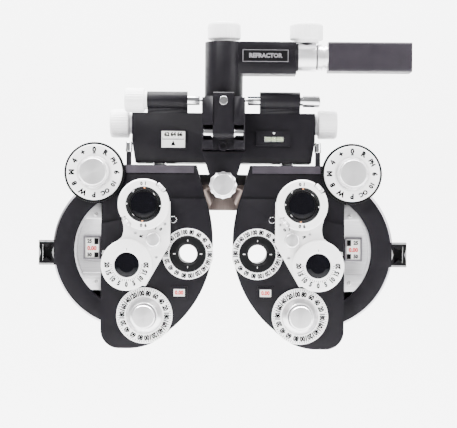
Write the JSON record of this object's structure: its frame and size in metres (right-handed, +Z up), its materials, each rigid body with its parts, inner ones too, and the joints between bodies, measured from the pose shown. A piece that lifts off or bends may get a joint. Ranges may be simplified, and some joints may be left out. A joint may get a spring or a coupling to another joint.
{
  "type": "phoropter",
  "caption": "Hanging manual refractor head: two mirrored lens units with dials, turrets and sight apertures under a level and PD casing on a clamp arm.",
  "frame": {"origin": "midway between the two sight apertures, on the horizontal sight line, inside the units", "axes": "+X to the examiner's right, along the line through both apertures; +Y towards the patient; +Z up"},
  "size_m": [0.3448, 0.0831, 0.3021],
  "materials": {
    "casing_black": "fine matt charcoal enamel",
    "bar_grey": "satin dark grey enamel",
    "chrome": "polished",
    "spun_aluminium": "spun, satin",
    "knurled_silver": "fine knurl",
    "silver_plate": "satin sheet",
    "dial_white": "white satin enamel with dark printed scale",
    "turret_white": "white satin enamel",
    "ring_black": "satin black, knurled",
    "nickel": "dull brushed nickel",
    "lens": "clear coated glass in a black cell",
    "window_frame": "satin grey bezel with white card",
    "shield": "matt black plastic",
    "pad_rubber": "soft matt rubber"
  },
  "bodies": {
    "stand": {"stand_arm": "bar_grey", "joint_shaft": "chrome"},
    "hanger": {"hanger_arm": "casing_black"},
    "arm_clamp": {"arm_clamp_knob": "spun_aluminium"},
    "swivel_clamp": {"swivel_knob": "spun_aluminium"},
    "yoke": {"yoke": "casing_black", "rod_holder_shaft": "chrome"},
    "rod_holder": {"rod_holder": "casing_black"},
    "head": {"main_body": "casing_black", "body_back_cover": "casing_black", "pd_window": "window_frame", "level_vial": "casing_black", "v_plate": "nickel"},
    "pd_drive": {"pd_screw": "chrome", "pd_knobs": "spun_aluminium"},
    "level_knob": {"level_knob": "spun_aluminium"},
    "level_screw": {"level_screw": "chrome"},
    "level_plunger": {"level_plunger": "chrome"},
    "forehead_knob": {"forehead_knob": "spun_aluminium"},
    "forehead_rest": {"forehead_rest": "pad_rubber"},
    "carriage_right": {"carriage_right": "spun_aluminium"},
    "unit_right": {"front_cover_right": "casing_black", "rear_housing_right": "casing_black", "crescent_plate_right": "silver_plate", "scale_window_right": "window_frame", "corneal_sight_right": "silver_plate", "aperture_dial_right": "dial_white", "cylinder_window_right": "window_frame", "face_shield_right": "shield"},
    "sphere_wheel_right": {"sphere_wheel_right": "knurled_silver"},
    "aux_dial_right": {"aux_dial_right": "dial_white", "aux_knob_right": "spun_aluminium"},
    "strong_sphere_ring_right": {"strong_sphere_ring_right": "ring_black"},
    "turret_right": {"turret_plate_right": "turret_white"},
    "jcc_ring_right": {"jcc_ring_right": "dial_white"},
    "jcc_cell_right": {"jcc_cell_right": "lens"},
    "prism_right": {"prism_dial_right": "dial_white"},
    "axis_pointer_right": {"axis_pointer_right": "ring_black"},
    "axis_dial_right": {"axis_dial_right": "dial_white"},
    "power_knob_right": {"power_knob_right": "spun_aluminium"},
    "carriage_left": {"carriage_left": "spun_aluminium"},
    "unit_left": {"front_cover_left": "casing_black", "rear_housing_left": "casing_black", "crescent_plate_left": "silver_plate", "scale_window_left": "window_frame", "corneal_sight_left": "silver_plate", "aperture_dial_left": "dial_white", "cylinder_window_left": "window_frame", "face_shield_left": "shield"},
    "sphere_wheel_left": {"sphere_wheel_left": "knurled_silver"},
    "aux_dial_left": {"aux_dial_left": "dial_white", "aux_knob_left": "spun_aluminium"},
    "strong_sphere_ring_left": {"strong_sphere_ring_left": "ring_black"},
    "turret_left": {"turret_plate_left": "turret_white"},
    "jcc_ring_left": {"jcc_ring_left": "dial_white"},
    "jcc_cell_left": {"jcc_cell_left": "lens"},
    "prism_left": {"prism_dial_left": "dial_white"},
    "axis_pointer_left": {"axis_pointer_left": "ring_black"},
    "axis_dial_left": {"axis_dial_left": "dial_white"},
    "power_knob_left": {"power_knob_left": "spun_aluminium"}
  },
  "joints": [
    {"name": "arm_tilt", "type": "hinge", "parent": "stand", "child": "hanger", "pos_m": [0.0765, -0.015, 0.183], "axis": [1, 0, 0], "range_deg": [-20, 20]},
    {"name": "arm_clamp_turn", "type": "hinge", "parent": "hanger", "child": "arm_clamp", "pos_m": [0.0765, -0.015, 0.2], "axis": [0, 0, 1], "range_deg": [0, 360]},
    {"name": "swivel_clamp_turn", "type": "hinge", "parent": "hanger", "child": "swivel_clamp", "pos_m": [0, -0.015, 0.2], "axis": [0, 0, 1], "range_deg": [0, 360]},
    {"name": "head_swivel", "type": "hinge", "parent": "hanger", "child": "yoke", "pos_m": [0, -0.015, 0.16], "axis": [0, 0, 1], "range_deg": [-90, 90]},
    {"name": "rod_holder_flip", "type": "hinge", "parent": "yoke", "child": "rod_holder", "pos_m": [0, -0.039, 0.111], "axis": [1, 0, 0], "range_deg": [0, 90]},
    {"name": "level_tilt", "type": "hinge", "parent": "yoke", "child": "head", "pos_m": [0, -0.02, 0.0998], "axis": [0, 1, 0], "range_deg": [-2.5, 2.5]},
    {"name": "level_knob_turn", "type": "hinge", "parent": "head", "child": "level_knob", "pos_m": [-0.08, -0.0135, 0.1426], "axis": [1, 0, 0], "range_deg": [-337, 337]},
    {"name": "level_screw_slide", "type": "slide", "parent": "head", "child": "level_screw", "axis": [1, 0, 0], "range_m": [-0.0019, 0.0019]},
    {"name": "level_plunger_slide", "type": "slide", "parent": "head", "child": "level_plunger", "axis": [1, 0, 0], "range_m": [-0.0019, 0.0019]},
    {"name": "pd_drive_turn", "type": "hinge", "parent": "head", "child": "pd_drive", "pos_m": [0, 0.003, 0.1218], "axis": [1, 0, 0], "range_deg": [-630, 630]},
    {"name": "forehead_knob_turn", "type": "hinge", "parent": "head", "child": "forehead_knob", "pos_m": [0, 0, 0.0636], "axis": [0, 1, 0], "range_deg": [0, 720]},
    {"name": "forehead_rest_slide", "type": "slide", "parent": "head", "child": "forehead_rest", "axis": [0, 1, 0], "range_m": [0, 0.014]},
    {"name": "pd_slide_right", "type": "slide", "parent": "head", "child": "carriage_right", "axis": [1, 0, 0], "range_m": [-0.007, 0.007]},
    {"name": "convergence_right", "type": "hinge", "parent": "carriage_right", "child": "unit_right", "pos_m": [0.06, 0.003, 0.078], "axis": [0, 0, -1], "range_deg": [0, 2.5]},
    {"name": "sphere_wheel_turn_right", "type": "hinge", "parent": "unit_right", "child": "sphere_wheel_right", "pos_m": [0.0847, 0, 0.0035], "axis": [0, 1, 0], "continuous": true},
    {"name": "aux_dial_turn_right", "type": "hinge", "parent": "unit_right", "child": "aux_dial_right", "pos_m": [0.1187, -0.028, 0.0747], "axis": [0, 1, 0], "continuous": true},
    {"name": "strong_sphere_turn_right", "type": "hinge", "parent": "unit_right", "child": "strong_sphere_ring_right", "pos_m": [0.1187, -0.024, 0.0747], "axis": [0, 1, 0], "continuous": true},
    {"name": "turret_turn_right", "type": "hinge", "parent": "unit_right", "child": "turret_right", "pos_m": [0.0633, -0.035, 0.0132], "axis": [0, 1, 0], "range_deg": [-128.1, 112.2]},
    {"name": "jcc_axis_turn_right", "type": "hinge", "parent": "turret_right", "child": "jcc_ring_right", "pos_m": [0.072, -0.042, 0.0452], "axis": [0, 1, 0], "range_deg": [-90, 90]},
    {"name": "jcc_flip_right", "type": "hinge", "parent": "jcc_ring_right", "child": "jcc_cell_right", "pos_m": [0.072, -0.042, 0.0452], "axis": [0.7071, 0, 0.7071], "range_deg": [0, 180]},
    {"name": "prism_turn_right", "type": "hinge", "parent": "turret_right", "child": "prism_right", "pos_m": [0.0873, -0.039, -0.01], "axis": [0, 1, 0], "continuous": true},
    {"name": "axis_dial_turn_right", "type": "hinge", "parent": "unit_right", "child": "axis_dial_right", "pos_m": [0.0716, -0.03, -0.0569], "axis": [0, 1, 0], "continuous": true},
    {"name": "axis_pointer_turn_right", "type": "hinge", "parent": "unit_right", "child": "axis_pointer_right", "pos_m": [0.0321, -0.026, 0], "axis": [0, 1, 0], "continuous": true},
    {"name": "power_knob_turn_right", "type": "hinge", "parent": "unit_right", "child": "power_knob_right", "pos_m": [0.0716, -0.04, -0.0569], "axis": [0, 1, 0], "continuous": true},
    {"name": "pd_slide_left", "type": "slide", "parent": "head", "child": "carriage_left", "axis": [-1, 0, 0], "range_m": [-0.007, 0.007]},
    {"name": "convergence_left", "type": "hinge", "parent": "carriage_left", "child": "unit_left", "pos_m": [-0.06, 0.003, 0.078], "axis": [0, 0, 1], "range_deg": [0, 2.5]},
    {"name": "sphere_wheel_turn_left", "type": "hinge", "parent": "unit_left", "child": "sphere_wheel_left", "pos_m": [-0.0847, 0, 0.0035], "axis": [0, -1, 0], "continuous": true},
    {"name": "aux_dial_turn_left", "type": "hinge", "parent": "unit_left", "child": "aux_dial_left", "pos_m": [-0.1187, -0.028, 0.0747], "axis": [0, -1, 0], "continuous": true},
    {"name": "strong_sphere_turn_left", "type": "hinge", "parent": "unit_left", "child": "strong_sphere_ring_left", "pos_m": [-0.1187, -0.024, 0.0747], "axis": [0, -1, 0], "continuous": true},
    {"name": "turret_turn_left", "type": "hinge", "parent": "unit_left", "child": "turret_left", "pos_m": [-0.0633, -0.035, 0.0132], "axis": [0, -1, 0], "range_deg": [-128.1, 112.2]},
    {"name": "jcc_axis_turn_left", "type": "hinge", "parent": "turret_left", "child": "jcc_ring_left", "pos_m": [-0.072, -0.042, 0.0452], "axis": [0, -1, 0], "range_deg": [-90, 90]},
    {"name": "jcc_flip_left", "type": "hinge", "parent": "jcc_ring_left", "child": "jcc_cell_left", "pos_m": [-0.072, -0.042, 0.0452], "axis": [0.7071, 0, 0.7071], "range_deg": [0, 180]},
    {"name": "prism_turn_left", "type": "hinge", "parent": "turret_left", "child": "prism_left", "pos_m": [-0.0873, -0.039, -0.01], "axis": [0, -1, 0], "continuous": true},
    {"name": "axis_dial_turn_left", "type": "hinge", "parent": "unit_left", "child": "axis_dial_left", "pos_m": [-0.0716, -0.03, -0.0569], "axis": [0, -1, 0], "continuous": true},
    {"name": "axis_pointer_turn_left", "type": "hinge", "parent": "unit_left", "child": "axis_pointer_left", "pos_m": [-0.0321, -0.026, 0], "axis": [0, -1, 0], "continuous": true},
    {"name": "power_knob_turn_left", "type": "hinge", "parent": "unit_left", "child": "power_knob_left", "pos_m": [-0.0716, -0.04, -0.0569], "axis": [0, -1, 0], "continuous": true}
  ],
  "couplings": [
    {"joint": "level_knob_turn", "follows": "level_tilt", "ratio": 134.46},
    {"joint": "level_screw_slide", "follows": "level_tilt", "m_per_rad": -0.0428},
    {"joint": "level_plunger_slide", "follows": "level_tilt", "m_per_rad": -0.0428},
    {"joint": "forehead_knob_turn", "follows": "forehead_rest_slide", "rad_per_m": 897.6},
    {"joint": "pd_slide_left", "follows": "pd_slide_right", "ratio": 1},
    {"joint": "pd_drive_turn", "follows": "pd_slide_right", "rad_per_m": 1570.8},
    {"joint": "axis_pointer_turn_right", "follows": "axis_dial_turn_right", "ratio": 1},
    {"joint": "axis_pointer_turn_left", "follows": "axis_dial_turn_left", "ratio": 1},
    {"joint": "convergence_left", "follows": "convergence_right", "ratio": 1}
  ]
}
